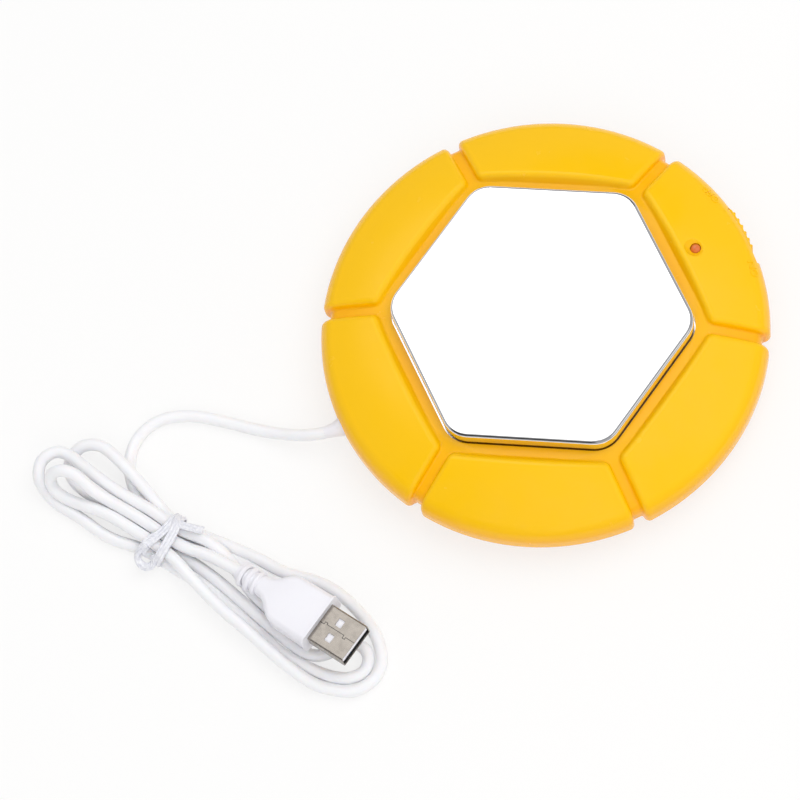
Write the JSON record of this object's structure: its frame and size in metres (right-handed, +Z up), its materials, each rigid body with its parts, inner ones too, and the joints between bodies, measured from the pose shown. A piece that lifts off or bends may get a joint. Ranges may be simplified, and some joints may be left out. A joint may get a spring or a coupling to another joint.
{
  "type": "electric mug warmer",
  "caption": "Electric mug warmer: round lobed moulded disc with a raised hexagonal steel hot plate, a slide switch in its rim, a lamp, and a tied lead with a USB-A plug.",
  "frame": {"origin": "on the floor, under the centre of the disc", "axes": "+Z up; the slide switch is at -Y and the lead leaves the disc at +Y; the corners of the hexagonal plate are on +X and -X"},
  "size_m": [0.1352, 0.2126, 0.024],
  "materials": {
    "yellow_gloss": "glossy injection-moulded ABS, yellow",
    "yellow_knob": "satin-glossy moulded ABS, yellow",
    "polished_steel": "mirror-polished drawn stainless steel",
    "mica": "pressed mica sheet",
    "heater_ribbon": "resistance ribbon",
    "felt": "glass-fibre felt",
    "zinc_steel": "zinc-plated sheet steel",
    "screw_steel": "zinc-plated screw",
    "board": "green solder mask",
    "black_plastic": "black moulded plastic",
    "lamp_clear": "tinted epoxy lens, unlit",
    "resistor": "lacquered film resistor",
    "white_plastic": "white moulded plastic",
    "white_cord": "white PVC jacket",
    "white_tie": "paper-and-plastic covered wire tie",
    "plug_nickel": "nickel-plated steel shell",
    "contact_gold": "gold-plated contact",
    "red_wire": "red wire insulation",
    "black_wire": "black wire insulation",
    "white_wire": "white silicone wire insulation",
    "foot_rubber": "soft rubber"
  },
  "bodies": {
    "housing": {"base_cover": "yellow_gloss", "board_screws": "screw_steel", "bracket_screws": "screw_steel", "circuit_board": "board", "clamp_screws": "screw_steel", "cord": "white_cord", "cord_clamp": "white_plastic", "cord_gland": "white_plastic", "cord_hank": "white_cord", "cord_tail": "white_cord", "heater_bracket": "zinc_steel", "heater_wire_left": "white_wire", "heater_wire_right": "white_wire", "heating_element": "heater_ribbon", "heating_plate": "polished_steel", "housing_screws": "screw_steel", "indicator_lamp": "lamp_clear", "insulation_felt": "felt", "lamp_leads": "screw_steel", "lower_mica": "mica", "plug_contacts": "contact_gold", "plug_grip": "white_plastic", "plug_lead": "white_cord", "plug_shell": "plug_nickel", "plug_tongue": "white_plastic", "resistor": "resistor", "rubber_foot_1": "foot_rubber", "rubber_foot_2": "foot_rubber", "rubber_foot_3": "foot_rubber", "rubber_foot_4": "foot_rubber", "supply_wire_black": "black_wire", "supply_wire_red": "red_wire", "switch_base": "black_plastic", "switch_can": "zinc_steel", "twist_tie": "white_tie", "upper_housing": "yellow_gloss", "upper_mica": "mica"},
    "knob": {"switch_knob": "yellow_knob", "switch_slider": "black_plastic"}
  },
  "joints": [
    {"name": "switch_slide", "type": "slide", "parent": "housing", "child": "knob", "axis": [-1, 0, 0], "range_m": [0, 0.004]}
  ]
}
